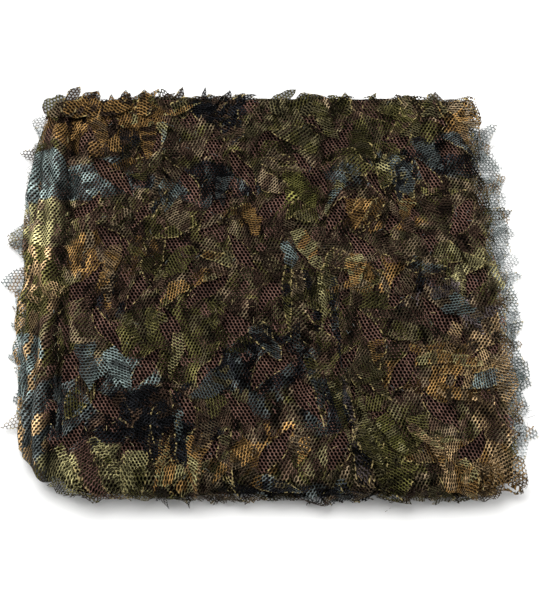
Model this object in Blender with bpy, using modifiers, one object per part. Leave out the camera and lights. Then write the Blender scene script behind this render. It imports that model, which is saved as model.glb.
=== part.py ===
"""Camouflage net, folded: a leaf-cut mesh net laid in four across its width, then folded back and forth.

The folded strip is one sheet. It starts at the front edge on the ground, runs to the back and returns, ten
layers high. The left side is rounded, each layer bent down round those below it, and the right side is open.
X runs along the packet's long side, Y to its back and Z up. The origin is on the ground, under the middle of
the bounding box. Sizes are in metres.
"""

import math
from collections import namedtuple

import bmesh
import bpy

SHEET_THICKNESS = 0.0015
LAYER_PITCH = 0.0032
LAYER_SEGMENTS = 6
LOOP_SEGMENTS = 4
ROLL_SEGMENTS = 4

# The outline, seen from above. A row for each section across the packet, from the back to the front.
# left and right are the sides of the stack, and ply is the right side of the bottom layer, which lies out flat.
Section = namedtuple("Section", "y left right ply")
SECTIONS = (
    Section(y=0.155, left=-0.178, right=0.148, ply=0.156),
    Section(y=0.095, left=-0.184, right=0.151, ply=0.172),
    Section(y=0.040, left=-0.182, right=0.156, ply=0.172),
    Section(y=-0.025, left=-0.182, right=0.162, ply=0.176),
    Section(y=-0.085, left=-0.177, right=0.162, ply=0.175),
    Section(y=-0.155, left=-0.162, right=0.164, ply=0.170),
)

# The layers, from the ground up. inset draws the right edge in from the section's line, and wrap is how far
# the layer bends down round the left side, in degrees.
Layer = namedtuple("Layer", "inset wrap")
LAYERS = (
    Layer(inset=0.000, wrap=0),
    Layer(inset=0.004, wrap=30),
    Layer(inset=0.003, wrap=50),
    Layer(inset=0.005, wrap=58),
    Layer(inset=0.003, wrap=58),
    Layer(inset=0.006, wrap=66),
    Layer(inset=0.004, wrap=69),
    Layer(inset=0.005, wrap=71),
    Layer(inset=0.004, wrap=74),
    Layer(inset=0.000, wrap=77),
)

# The ends of the layers in the order of the cloth: a cut edge, nine folds by turns at the back and the front,
# and a cut edge. bulge is how far the loop of a fold stands out past its y.
Fold = namedtuple("Fold", "y bulge")
FOLDS = (
    Fold(y=-0.1360, bulge=0.0),
    Fold(y=0.1535, bulge=0.0020),
    Fold(y=-0.1395, bulge=0.0030),
    Fold(y=0.1510, bulge=0.0022),
    Fold(y=-0.1375, bulge=0.0034),
    Fold(y=0.1540, bulge=0.0020),
    Fold(y=-0.1390, bulge=0.0028),
    Fold(y=0.1520, bulge=0.0022),
    Fold(y=-0.1345, bulge=0.0034),
    Fold(y=0.1545, bulge=0.0020),
    Fold(y=-0.1325, bulge=0.0),
)

# Soft troughs and ridges of the upper layers, each along a line from its back end to its front end.
Crease = namedtuple("Crease", "x_back y_back x_front y_front width height")
CREASES = (
    Crease(x_back=-0.153, y_back=0.148, x_front=-0.151, y_front=0.088, width=0.006, height=-0.0034),
    Crease(x_back=-0.151, y_back=0.060, x_front=-0.152, y_front=0.005, width=0.006, height=-0.0030),
    Crease(x_back=-0.154, y_back=-0.050, x_front=-0.152, y_front=-0.110, width=0.006, height=-0.0030),
    Crease(x_back=-0.150, y_back=-0.060, x_front=-0.108, y_front=-0.140, width=0.009, height=0.0030),
    Crease(x_back=0.029, y_back=0.120, x_front=0.032, y_front=0.062, width=0.007, height=-0.0036),
    Crease(x_back=0.050, y_back=0.112, x_front=0.046, y_front=0.060, width=0.009, height=0.0030),
    Crease(x_back=0.044, y_back=0.044, x_front=0.068, y_front=0.036, width=0.007, height=-0.0028),
    Crease(x_back=0.014, y_back=0.018, x_front=0.017, y_front=-0.030, width=0.008, height=0.0028),
    Crease(x_back=-0.004, y_back=-0.028, x_front=0.016, y_front=-0.070, width=0.010, height=-0.0026),
    Crease(x_back=0.072, y_back=0.000, x_front=0.074, y_front=-0.055, width=0.008, height=0.0022),
    Crease(x_back=0.025, y_back=-0.064, x_front=0.032, y_front=-0.132, width=0.007, height=0.0030),
)
CREASE_FADE = 1.3

# Swells that cover the whole top: how high they stand, and how long one wave is each way.
SWELL_HEIGHT = 0.0008
SWELL_X = 0.110
SWELL_Y = 0.083

LEFT_SLOPE = 0.060
LEFT_SQUASH = 0.12
RIGHT_SLOPE = 0.050
RIGHT_SQUASH = 0.15

FLAT_TAIL = 0.006
PLY_SCALLOP = 0.0025
PLY_SCALLOP_LENGTH = 0.055
EDGE_WAVE = 0.0012
EDGE_WAVE_LENGTH = 0.090
FRONT_LEFT_RADIUS = 0.044
FRONT_RIGHT_RADIUS = 0.026
BACK_LEFT_RADIUS = 0.014
BACK_RIGHT_RADIUS = 0.006
CORNER_TURN = 0.70

# Columns across the flat part: evenly spread ones, three at the right corners and a few on each crease.
EVEN_COLUMNS = 7
CORNER_COLUMNS = (0.005, 0.014, 0.026)
COLUMN_GAP = 0.0078

NET_COLOUR = (0.075, 0.062, 0.030, 1.0)
NET_ROUGHNESS = 0.92


def smooth_step(value):
    """Ease from 0 to 1, flat at both ends."""
    value = min(max(value, 0.0), 1.0)
    return value * value * (3.0 - 2.0 * value)


def mix(first, second, share):
    return first + (second - first) * share


def section_value(y, column):
    """A column of the section table at any y, eased between its rows."""
    rows = SECTIONS
    if y >= rows[0].y:
        return getattr(rows[0], column)
    for back, front in zip(rows, rows[1:]):
        if y >= front.y:
            share = smooth_step((back.y - y) / (back.y - front.y))
            return mix(getattr(back, column), getattr(front, column), share)
    return getattr(rows[-1], column)


def crease_height(x, y):
    """The troughs and ridges at one place of the top layer."""
    total = 0.0
    for crease in CREASES:
        run_x = crease.x_front - crease.x_back
        run_y = crease.y_front - crease.y_back
        share = ((x - crease.x_back) * run_x + (y - crease.y_back) * run_y) / (run_x**2 + run_y**2)
        share = min(max(share, 0.0), 1.0)
        away = math.hypot(x - crease.x_back - run_x * share, y - crease.y_back - run_y * share)
        total += crease.height * math.exp(-((away / crease.width) ** 2))
    return total


def swell_height(x, y):
    return SWELL_HEIGHT * math.sin(math.tau * x / SWELL_X) * math.cos(math.tau * y / SWELL_Y)


def roll_line(y):
    """Where the flat top ends and the rounded left side starts."""
    top_radius = (len(LAYERS) - 1) * LAYER_PITCH * (1.0 - LEFT_SQUASH)
    return section_value(y, "left") + top_radius


def right_edge(level, y):
    if level == 0:
        scallop = PLY_SCALLOP * math.cos(math.tau * y / PLY_SCALLOP_LENGTH)
        return section_value(y, "ply") + scallop
    return section_value(y, "right") - LAYERS[level].inset


def layer_height(level, x, y, crease_share=1.0):
    """The middle of a layer's thickness: the bottom one lies flat, and the others follow the packet's top."""
    left = roll_line(y)
    right = section_value(y, "right")
    squash = 1.0 - LEFT_SQUASH * smooth_step((left + LEFT_SLOPE - x) / LEFT_SLOPE)
    squash -= RIGHT_SQUASH * smooth_step((x - right + RIGHT_SLOPE) / RIGHT_SLOPE)
    share = level / (len(LAYERS) - 1)
    shape = (crease_height(x, y) + swell_height(x, y)) * crease_share * share**CREASE_FADE
    return SHEET_THICKNESS / 2 + level * LAYER_PITCH * squash + shape


def corner_setback(distance, radius):
    """How far a rounded corner draws an edge back, at a distance in from the side."""
    inside = min(max(radius - distance, 0.0), radius * CORNER_TURN)
    return radius - math.sqrt(radius**2 - inside**2)


def edge_y(fold_number, level, x, y):
    """The y of a fold or cut edge, with its waves and its rounded corners."""
    at_back = fold_number % 2 == 1
    wave = EDGE_WAVE * math.sin(math.tau * x / EDGE_WAVE_LENGTH + fold_number * 1.7)
    from_left = x - section_value(y, "left")
    from_right = right_edge(level, y) - x
    left_radius = BACK_LEFT_RADIUS if at_back else FRONT_LEFT_RADIUS
    right_radius = BACK_RIGHT_RADIUS if at_back else FRONT_RIGHT_RADIUS
    setback = corner_setback(from_left, left_radius) + corner_setback(from_right, right_radius)
    direction = -1.0 if at_back else 1.0
    straightness = 0.3 if at_back else 1.0
    return FOLDS[fold_number].y + direction * setback + wave * straightness


def flat_shares():
    """Where the columns stand across the flat part, from 0 at the right edge to 1 at the rounded side."""
    left = roll_line(0.0)
    right = section_value(0.0, "right")
    places = [mix(right, left, number / EVEN_COLUMNS) for number in range(EVEN_COLUMNS + 1)]
    places += [right - distance for distance in CORNER_COLUMNS]
    for crease in CREASES:
        middle = (crease.x_back + crease.x_front) / 2
        for place in (middle, middle - crease.width, middle + crease.width):
            if left < place < right and min(abs(place - other) for other in places) > COLUMN_GAP:
                places.append(place)
    return [(right - place) / (right - left) for place in sorted(places, reverse=True)]


FLAT_SHARES = flat_shares()
COLUMNS = len(FLAT_SHARES) - 1 + ROLL_SEGMENTS
ROWS = len(LAYERS) * LAYER_SEGMENTS + (len(LAYERS) - 1) * LOOP_SEGMENTS


def layer_point(level, column, share):
    """A point of one layer. share runs with the cloth, from the fold before it to the fold after it."""
    y = mix(FOLDS[level].y, FOLDS[level + 1].y, share)
    left = roll_line(y)
    if column < len(FLAT_SHARES):
        x = mix(right_edge(level, y), left, FLAT_SHARES[column])
        z = layer_height(level, x, y)
    else:
        round_share = (column - len(FLAT_SHARES) + 1) / ROLL_SEGMENTS
        radius = layer_height(level, left, y, (1.0 - round_share) ** 2)
        angle = math.radians(LAYERS[level].wrap) * round_share
        tail = FLAT_TAIL * round_share if level == 0 else 0.0
        x = left - tail - radius * math.sin(angle)
        z = radius * math.cos(angle)
    start = edge_y(level, level, x, y)
    end = edge_y(level + 1, level, x, y)
    return x, mix(start, end, share), z


def loop_point(level, column, share):
    """A point of the loop that joins a layer to the one above it."""
    lower_x, lower_y, lower_z = layer_point(level, column, 1.0)
    upper_x, upper_y, upper_z = layer_point(level + 1, column, 0.0)
    angle = math.pi * (share - 0.5)
    rise = (1.0 + math.sin(angle)) / 2
    outward = math.copysign(FOLDS[level + 1].bulge, FOLDS[level + 1].y)
    y = mix(lower_y, upper_y, rise) + outward * math.cos(angle)
    return mix(lower_x, upper_x, rise), y, mix(lower_z, upper_z, rise)


def net_point(column, row):
    """A point of the folded strip: a column across it, and a row along it."""
    level, step = divmod(row, LAYER_SEGMENTS + LOOP_SEGMENTS)
    if step <= LAYER_SEGMENTS:
        return layer_point(level, column, step / LAYER_SEGMENTS)
    return loop_point(level, column, (step - LAYER_SEGMENTS) / LOOP_SEGMENTS)


def net_material():
    material = bpy.data.materials.new("leaf_cut_mesh")
    material.use_nodes = True
    shader = material.node_tree.nodes["Principled BSDF"]
    shader.inputs["Base Color"].default_value = NET_COLOUR
    shader.inputs["Roughness"].default_value = NET_ROUGHNESS
    shader.inputs["Metallic"].default_value = 0.0
    return material


def centre_over_origin(vertices):
    """Slide the net along the ground until the middle of its outline is over the origin."""
    for axis in (0, 1):
        places = [vertex.co[axis] for vertex in vertices]
        middle = (min(places) + max(places)) / 2
        for vertex in vertices:
            vertex.co[axis] -= middle


def make_net(collection):
    """The folded strip: an open grid laid along its folds, then given its thickness."""
    grid = bmesh.new()
    bmesh.ops.create_grid(grid, x_segments=COLUMNS, y_segments=ROWS, size=0.5)
    for vertex in grid.verts:
        column = round((vertex.co.x + 0.5) * COLUMNS)
        row = round((vertex.co.y + 0.5) * ROWS)
        vertex.co = net_point(column, row)
    bmesh.ops.triangulate(grid, faces=grid.faces, quad_method="SHORT_EDGE")
    centre_over_origin(grid.verts)
    mesh = bpy.data.meshes.new("net")
    grid.to_mesh(mesh)
    grid.free()
    mesh.materials.append(net_material())
    mesh.shade_smooth()
    net = bpy.data.objects.new("net", mesh)
    collection.objects.link(net)
    thickness = net.modifiers.new("thickness", "SOLIDIFY")
    thickness.thickness = SHEET_THICKNESS
    thickness.offset = 0.0
    return net


def main():
    for old in list(bpy.data.objects):
        bpy.data.objects.remove(old)
    collection = bpy.data.collections.new("camouflage_net")
    bpy.context.scene.collection.children.link(collection)
    make_net(collection)


main()
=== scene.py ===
"""Camouflage net, folded: the finished look of the packet.

The net is two plies knitted together. A dark ground mesh lies underneath. A printed ply lies over it, cut in
rows of leaning slits that open into lens-shaped windows, with loose leaves beside them. The pieces are the
folded ground mesh, the leaf-cut ply of the top, the pleats of its left margin, the loose leaves, the leaf
tips and yarn ends that stand out round the sides, and the stage. Sizes are in metres, and in the tables in
millimetres. X runs along the packet's long side, Y to its back and Z up.
"""

import functools
import math
from collections import defaultdict, namedtuple

import bpy
import numpy as np
from bpy.props import FloatProperty, FloatVectorProperty, IntProperty, PointerProperty
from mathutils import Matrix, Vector


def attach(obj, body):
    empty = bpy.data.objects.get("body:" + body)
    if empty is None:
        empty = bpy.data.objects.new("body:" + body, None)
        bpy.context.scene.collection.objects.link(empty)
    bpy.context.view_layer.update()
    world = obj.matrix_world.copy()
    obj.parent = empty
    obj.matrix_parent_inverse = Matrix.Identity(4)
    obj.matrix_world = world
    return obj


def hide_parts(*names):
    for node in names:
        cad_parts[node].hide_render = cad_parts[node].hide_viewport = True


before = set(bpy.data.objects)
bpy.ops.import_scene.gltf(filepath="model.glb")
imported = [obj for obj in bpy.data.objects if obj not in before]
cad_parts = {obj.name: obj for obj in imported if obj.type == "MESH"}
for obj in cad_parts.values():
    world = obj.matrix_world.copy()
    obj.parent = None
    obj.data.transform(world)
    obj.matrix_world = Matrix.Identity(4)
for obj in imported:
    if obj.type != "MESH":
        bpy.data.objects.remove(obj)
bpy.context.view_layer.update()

bl_info = {
    "name": "Folded Camouflage Net",
    "version": (1, 0, 0),
    "blender": (4, 5, 0),
    "location": "View3D > Sidebar > Camouflage Net",
    "description": "Builds a folded leaf-cut camouflage net and a plain stage for it",
    "category": "Add Mesh",
}

NODE = "net"


def table(fields, lengths, rows):
    """Rows as named tuples. The first columns, as many as lengths says, turn from millimetres to metres."""
    row_kind = namedtuple("Row", fields)
    return [row_kind(*(value / 1000 for value in row[:lengths]), *row[lengths:]) for row in rows]


# The folded strip. These tables and the functions after them give the same folds as the solid.

SHEET_THICKNESS = 0.0015
LAYER_PITCH = 0.0032

# The outline from above, a row for each section from the back to the front.
SECTIONS = table("y left right ply", 4, (
    (155, -178, 148, 156), (95, -184, 151, 172), (40, -182, 156, 172), (-25, -182, 162, 176),
    (-85, -177, 162, 175), (-155, -162, 164, 170),
))

# The layers from the ground up: how far each is drawn in at the right, and its bend in degrees at the left.
LAYERS = table("inset wrap", 1, (
    (0, 0), (4, 30), (3, 50), (5, 58), (3, 58), (6, 66), (4, 69), (5, 71), (4, 74), (0, 77),
))
TOP = len(LAYERS) - 1

# The ends of the layers in the order of the cloth: a cut edge, nine folds and a cut edge.
FOLDS = table("y bulge", 2, (
    (-136, 0), (153.5, 2), (-139.5, 3), (151, 2.2), (-137.5, 3.4), (154, 2), (-139, 2.8), (152, 2.2),
    (-134.5, 3.4), (154.5, 2), (-132.5, 0),
))

# Soft troughs and ridges, each along a line from its back end to its front end. They lie where the solid has
# them, and are a little sharper. The last is too small for the solid.
CREASES = table("x_back y_back x_front y_front width height", 6, (
    (-153, 148, -151, 88, 6, -4), (-151, 60, -152, 5, 6, -3.4), (-154, -50, -152, -110, 6, -3.6),
    (-150, -60, -108, -140, 9, 3), (29, 120, 32, 62, 7, -4.4), (50, 112, 46, 60, 9, 3.4),
    (44, 44, 68, 36, 7, -3.4), (14, 18, 17, -30, 7, 3.2), (-4, -28, 16, -70, 9, -4),
    (72, 0, 74, -55, 6, 2.6), (25, -64, 32, -132, 7, 3.4), (42, 34, 70, 0, 5, 2.4),
))
CREASE_FADE = 1.3

SWELL_HEIGHT = 0.0008
SWELL_X = 0.110
SWELL_Y = 0.083
LEFT_SLOPE = 0.060
LEFT_SQUASH = 0.12
RIGHT_SLOPE = 0.050
RIGHT_SQUASH = 0.15
FLAT_TAIL = 0.006
PLY_SCALLOP = 0.0025
PLY_SCALLOP_LENGTH = 0.055
EDGE_WAVE = 0.0012
EDGE_WAVE_LENGTH = 0.090
FRONT_LEFT_RADIUS = 0.044
FRONT_RIGHT_RADIUS = 0.026
BACK_LEFT_RADIUS = 0.014
BACK_RIGHT_RADIUS = 0.006
CORNER_TURN = 0.70

# The tables' origin is this far off the middle of the packet.
CENTRE_SHIFT = (0.0041, -0.0066, 0.0)


def mix(first, second, share):
    return first + (second - first) * share


def smooth_step(value):
    """Ease from 0 to 1, flat at both ends."""
    value = np.clip(value, 0.0, 1.0)
    return value * value * (3.0 - 2.0 * value)


def ripple(x, y, size, seed):
    """A smooth uneven relief, from about -1 to 1, with bumps about size across."""
    rng = np.random.default_rng(seed)
    total = 0.0
    for _ in range(7):
        turn = rng.uniform(0.0, math.tau)
        phase = rng.uniform(0.0, math.tau)
        wave = 2.0 * size * rng.uniform(0.75, 1.35)
        total = total + np.sin((x * math.cos(turn) + y * math.sin(turn)) * math.tau / wave + phase)
    return total / 3.2


def section_value(y, column):
    """A column of the section table at any y, eased between its rows."""
    y = np.asarray(y, dtype=float)
    value = np.full(y.shape, getattr(SECTIONS[0], column))
    for back, front in zip(SECTIONS, SECTIONS[1:]):
        share = smooth_step((back.y - y) / (back.y - front.y))
        value = np.where(y < back.y, mix(getattr(back, column), getattr(front, column), share), value)
    return value


def crease_height(x, y):
    """The troughs and ridges at one place of the top layer."""
    total = 0.0
    for crease in CREASES:
        run_x = crease.x_front - crease.x_back
        run_y = crease.y_front - crease.y_back
        share = ((x - crease.x_back) * run_x + (y - crease.y_back) * run_y) / (run_x**2 + run_y**2)
        share = np.clip(share, 0.0, 1.0)
        away = np.hypot(x - crease.x_back - run_x * share, y - crease.y_back - run_y * share)
        total = total + crease.height * np.exp(-((away / crease.width) ** 2))
    return total


def roll_line(y):
    """Where the flat top ends and the rounded left side starts."""
    top_radius = TOP * LAYER_PITCH * (1.0 - LEFT_SQUASH)
    return section_value(y, "left") + top_radius


def right_edge(level, y):
    if level == 0:
        return section_value(y, "ply") + PLY_SCALLOP * np.cos(math.tau * y / PLY_SCALLOP_LENGTH)
    waver = 0.0012 * ripple(y, 0.0 * y + level, 0.020, 40 + level)
    return section_value(y, "right") - LAYERS[level].inset + waver


def layer_height(level, x, y, crease_share=1.0):
    """The middle of a layer: the bottom one lies flat, and the others follow the packet's top."""
    left = roll_line(y)
    right = section_value(y, "right")
    squash = 1.0 - LEFT_SQUASH * smooth_step((left + LEFT_SLOPE - x) / LEFT_SLOPE)
    squash = squash - RIGHT_SQUASH * smooth_step((x - right + RIGHT_SLOPE) / RIGHT_SLOPE)
    share = level / TOP
    swell = SWELL_HEIGHT * np.sin(math.tau * x / SWELL_X) * np.cos(math.tau * y / SWELL_Y)
    shape = (crease_height(x, y) + swell) * crease_share * share**CREASE_FADE
    return SHEET_THICKNESS / 2 + level * LAYER_PITCH * squash + shape


def corner_setback(distance, radius):
    """How far a rounded corner draws an edge back, at a distance in from the side."""
    inside = np.clip(radius - distance, 0.0, radius * CORNER_TURN)
    return radius - np.sqrt(radius**2 - inside**2)


def edge_y(fold_number, level, x, y):
    """The y of a fold or cut edge, with its waves and its rounded corners."""
    at_back = fold_number % 2 == 1
    wave = EDGE_WAVE * np.sin(math.tau * x / EDGE_WAVE_LENGTH + fold_number * 1.7)
    left_radius = BACK_LEFT_RADIUS if at_back else FRONT_LEFT_RADIUS
    right_radius = BACK_RIGHT_RADIUS if at_back else FRONT_RIGHT_RADIUS
    setback = corner_setback(x - section_value(y, "left"), left_radius)
    setback = setback + corner_setback(right_edge(level, y) - x, right_radius)
    direction = -1.0 if at_back else 1.0
    straightness = 0.3 if at_back else 1.0
    return FOLDS[fold_number].y + direction * setback + wave * straightness


# The top of the packet as a surface that leaves and plies are laid on.

BACK_LINE = 0.1535
BACK_BEND = 0.0035
FRONT_LINE = -0.1340
FRONT_BEND = 0.0080
RIGHT_BEND = 0.0120
STEEPEST = math.radians(78)
FRONT_STEEPEST = math.radians(87)
LOWEST = 0.0009
HIGHEST = 0.0435
CORNER_EASE = 0.008
FLOOR_SPREAD = 0.7


def bend_over(distance, radius, steepest=STEEPEST):
    """How far out and how far down cloth goes when it bends over an edge, and the angle it then hangs at."""
    distance = np.maximum(distance, 0.0)
    angle = np.minimum(distance / radius, steepest)
    straight = distance - angle * radius
    out = radius * np.sin(angle) + straight * np.cos(angle)
    drop = radius * (1.0 - np.cos(angle)) + straight * np.sin(angle)
    return out, drop, angle


def top_relief(x, y):
    """Small wrinkles of the top layer."""
    return 0.0007 * ripple(x, y, 0.013, 3) + 0.0005 * ripple(x * 1.8, y * 0.6, 0.008, 5)


def lay_on_top(across, along, lift):
    """The place of cloth laid on the packet. across and along run with the cloth, over the edges and down."""
    y_flat = np.clip(along, FRONT_LINE, BACK_LINE)
    left = roll_line(y_flat)
    right = section_value(y_flat, "right")
    x_flat = np.clip(across, left, right)
    corner = corner_setback(across - section_value(y_flat, "left") + CORNER_EASE, FRONT_LEFT_RADIUS)
    corner = corner + corner_setback(right - across, FRONT_RIGHT_RADIUS)
    front = FRONT_LINE + corner
    height = layer_height(TOP, x_flat, y_flat) + top_relief(across, along)
    left_out, left_drop, left_angle = bend_over(left - across, height)
    right_out, right_drop, right_angle = bend_over(across - right, RIGHT_BEND)
    front_out, front_drop, front_angle = bend_over(front - along, FRONT_BEND, FRONT_STEEPEST)
    back_out, back_drop, back_angle = bend_over(along - BACK_LINE, BACK_BEND)
    outward_x = np.sin(right_angle) - np.sin(left_angle)
    outward_y = np.sin(back_angle) - np.sin(front_angle)
    x = x_flat - left_out + right_out + lift * outward_x
    y = np.clip(along, front, BACK_LINE) - front_out + back_out + lift * outward_y
    upright = np.cos(left_angle) * np.cos(right_angle) * np.cos(front_angle) * np.cos(back_angle)
    z = height - left_drop - right_drop - front_drop - back_drop + lift * upright
    spread = np.maximum(LOWEST - z, 0.0) * FLOOR_SPREAD
    return x + spread * outward_x, y + spread * outward_y, np.clip(z, LOWEST, HIGHEST)


# Colours of the print, and painted light and shade

# Each patch of the print: where it lies, how far it reaches, and its two colours.
PATCHES = table("x y reach_x reach_y first second", 4, (
    (-126, 132, 40, 22, "ochre", "bark"), (-41, 148, 30, 10, "night", "bark"),
    (-135, 86, 34, 16, "slate", "pale_slate"), (-51, 82, 48, 15, "night", "slate"),
    (122, 107, 28, 20, "slate", "night"), (70, 92, 30, 13, "slate", "olive"),
    (11, 130, 28, 22, "olive", "moss"), (83, 122, 30, 18, "moss", "olive"),
    (140, 140, 14, 16, "ochre", "taupe"), (18, 74, 13, 14, "lime", "moss"),
    (-15, 52, 12, 10, "ochre", "bark"), (65, 54, 12, 10, "ochre", "bark"),
    (97, 54, 10, 9, "ochre", "taupe"), (-46, 12, 10, 8, "ochre", "moss"),
    (-125, 23, 24, 18, "ochre", "taupe"), (69, 8, 20, 14, "ochre", "taupe"),
    (-77, 42, 26, 18, "moss", "bark"), (-72, -40, 40, 26, "moss", "olive"),
    (-118, -10, 20, 14, "bark", "night"), (-92, -101, 36, 24, "night", "bark"),
    (-52, -112, 20, 18, "night", "bark"), (-100, -68, 20, 14, "pale_slate", "slate"),
    (-135, -86, 24, 24, "slate", "night"), (-7, -55, 32, 18, "night", "slate"),
    (-18, -82, 22, 10, "slate", "olive"), (-58, -128, 17, 15, "ochre", "straw"),
    (3, -113, 24, 14, "ochre", "taupe"), (113, -68, 40, 15, "ochre", "taupe"),
    (77, -112, 20, 24, "moss", "olive"), (-121, -134, 36, 18, "straw", "olive"),
    (3, -146, 36, 10, "night", "slate"), (140, -132, 34, 20, "tan", "ochre"),
    (116, -8, 26, 18, "heather", "taupe"), (95, 7, 12, 9, "night", "bark"),
    (153, 20, 18, 20, "straw", "olive"), (148, -42, 16, 22, "tan", "taupe"),
    (152, -95, 16, 22, "tan", "taupe"), (34, -86, 14, 14, "night", "slate"),
    (-172, 88, 16, 20, "pale_slate", "slate"), (-170, 54, 18, 18, "straw", "taupe"),
    (-176, 4, 20, 34, "moss", "tan"), (-180, -60, 20, 30, "pale_slate", "tan"),
    (-168, -105, 18, 26, "slate", "tan"),
))
BASE_COLOURS = ("bark", "olive", "taupe", "moss", "bark")
PATCH_LEAST = 0.30

# Painted light and shade: wide areas where the net's colours are made lighter or darker than elsewhere,
# darker in the deep hollows and lighter where the light falls.
PAINTED_LIGHT_ZONES = table("x y reach_x reach_y light", 4, (
    (-172, 10, 22, 100, 1.8), (-58, 40, 50, 50, 0.76), (18, -48, 46, 36, 0.62), (48, -90, 20, 20, 0.76),
    (74, -96, 20, 18, 0.72), (-94, 136, 50, 16, 0.82), (-112, 32, 22, 20, 0.8), (-80, -100, 26, 20, 0.7),
    (118, 128, 24, 18, 1.35), (150, -70, 14, 60, 1.3),
))


def spot_weight(spot, x, y):
    """1 in the middle of a patch or zone, fading softly over its reach."""
    return np.exp(-(((x - spot.x) / spot.reach_x) ** 2 + ((y - spot.y) / spot.reach_y) ** 2))


def painted_zone_light(x, y):
    # The painted light and shade of all the zones at each place.
    light = 1.0
    for zone in PAINTED_LIGHT_ZONES:
        light = light * zone.light ** spot_weight(zone, x, y)
    return light


def print_colours_and_shade(x, y, palette, shift=0.0):
    """The print's two linear colours at each place, with the painted light and shade of the zones. shift
    moves the ground between its patches.
    """
    x = np.asarray(x, dtype=float)
    y = np.asarray(y, dtype=float)
    wander_x = x + 0.006 * ripple(x, y, 0.022, 11)
    wander_y = y + 0.006 * ripple(x, y, 0.022, 12)
    count = len(BASE_COLOURS)
    pick = (ripple(x + shift, y - shift, 0.018, 13) + 1.0) * 0.5 * count
    pick = np.clip(pick, 0, count - 1).astype(int)
    base = np.array([palette[name] for name in BASE_COLOURS])
    first = base[pick]
    second = base[(pick + 2) % count]
    best = np.full(x.shape, PATCH_LEAST)
    for patch in PATCHES:
        weight = spot_weight(patch, wander_x, wander_y)
        nearer = weight > best
        best = np.where(nearer, weight, best)
        first = np.where(nearer[..., None], palette[patch.first], first)
        second = np.where(nearer[..., None], palette[patch.second], second)
    # Painted light and shade: the zones make the print lighter or darker.
    light = painted_zone_light(x, y)[..., None]
    return first * light, second * light


def linear_colour(hex_value):
    """A six-digit sRGB hex colour as linear red, green and blue."""
    channels = [int(hex_value[place : place + 2], 16) / 255 for place in (0, 2, 4)]
    return tuple(c / 12.92 if c <= 0.04045 else ((c + 0.055) / 1.055) ** 2.4 for c in channels)


def size_property(name, description, metres):
    return FloatProperty(name=name, description=description, default=metres, unit="LENGTH")


def colour_property(name, description, hex_value):
    settings = {"subtype": "COLOR", "size": 3, "min": 0.0, "max": 1.0, "default": linear_colour(hex_value)}
    return FloatVectorProperty(name=name, description=description, **settings)


class NetSizes(bpy.types.PropertyGroup):
    """Sizes of the net and of its leaf cuts."""

    hole_pitch: size_property("Hole Pitch", "Distance between the middles of two knitted holes", 0.0027)
    window_pitch_x: size_property("Window Pitch X", "Distance between two leaf cuts of one row", 0.046)
    window_pitch_y: size_property("Window Pitch Y", "Distance between two rows of leaf cuts", 0.0295)
    window_length: size_property("Window Length", "Length of an opened leaf cut", 0.042)
    window_width: size_property("Window Width", "Width of an opened leaf cut", 0.0112)
    leaf_length: size_property("Leaf Length", "Length of a loose leaf", 0.040)
    leaf_width: size_property("Leaf Width", "Width of a loose leaf", 0.021)
    ply_lift: size_property("Ply Lift", "How far the printed ply lies above the ground mesh", 0.0012)
    tip_reach: size_property("Tip Reach", "How far the leaf tips stand out round the packet", 0.013)
    leaf_seed: IntProperty(
        name="Leaf Seed", description="Another number gives other random leaves", default=8
    )


class NetColours(bpy.types.PropertyGroup):
    """Colours of the print and of the ground mesh."""

    ground: colour_property("Ground", "Maroon-brown yarn of the ground mesh", "5b433b")
    bark: colour_property("Bark", "Dark brown of the print", "43352a")
    taupe: colour_property("Taupe", "Grey-brown of the print", "6b5d49")
    olive: colour_property("Olive", "Dull green of the print", "544e37")
    moss: colour_property("Moss", "Deep yellow-green of the print", "4c4829")
    lime: colour_property("Lime", "Bright yellow-green of the print", "716e3b")
    straw: colour_property("Straw", "Pale yellow of the print", "908960")
    ochre: colour_property("Ochre", "Orange-yellow of the print", "8c6c40")
    tan: colour_property("Tan", "Light brown of the print", "977e5c")
    slate: colour_property("Slate", "Blue-grey of the print", "4a504f")
    pale_slate: colour_property("Pale Slate", "Light blue-grey of the print", "6d7a77")
    night: colour_property("Night", "Near-black of the print", "1b1c1f")
    heather: colour_property("Heather", "Grey-violet of the print", "564d4c")
    # Painted light: this near-white colour is used on the sheer margin and the side tips, drawn light as
    # light shines through them.
    mist: colour_property("Mist", "Very light blue-grey of the print's bare side", "d3dbdb")
    cut_edge: colour_property("Cut Edge", "Bare yarn along the cut edges", "c4b078")
    floor: colour_property("Floor", "Plain pale floor", "f4f4f3")


def net_palette(colours):
    return {name: np.array(getattr(colours, name)[:]) for name in NetColours.__annotations__}


# Materials

ATTRIBUTE = "ShaderNodeAttribute"
MAP_RANGE = "ShaderNodeMapRange"
MAPPING = "ShaderNodeMapping"
MATH = "ShaderNodeMath"
MIX = "ShaderNodeMix"
NOISE = "ShaderNodeTexNoise"
VECTOR_MATH = "ShaderNodeVectorMath"


def feed(tree, node, inputs):
    """Give each input of a node its value, or the socket that feeds it."""
    for name, value in inputs.items():
        if isinstance(value, bpy.types.NodeSocket):
            tree.links.new(value, node.inputs[name])
        else:
            node.inputs[name].default_value = value


def add_node(tree, kind, inputs, output=0, **settings):
    """Add a shader node with its settings, feed its inputs, and give the output socket asked for."""
    node = tree.nodes.new(kind)
    for name, value in settings.items():
        setattr(node, name, value)
    feed(tree, node, inputs)
    return node.outputs[output]


def new_material(name):
    material = bpy.data.materials.new(name)
    material.use_nodes = True
    return material, material.node_tree, material.node_tree.nodes["Principled BSDF"]


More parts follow.
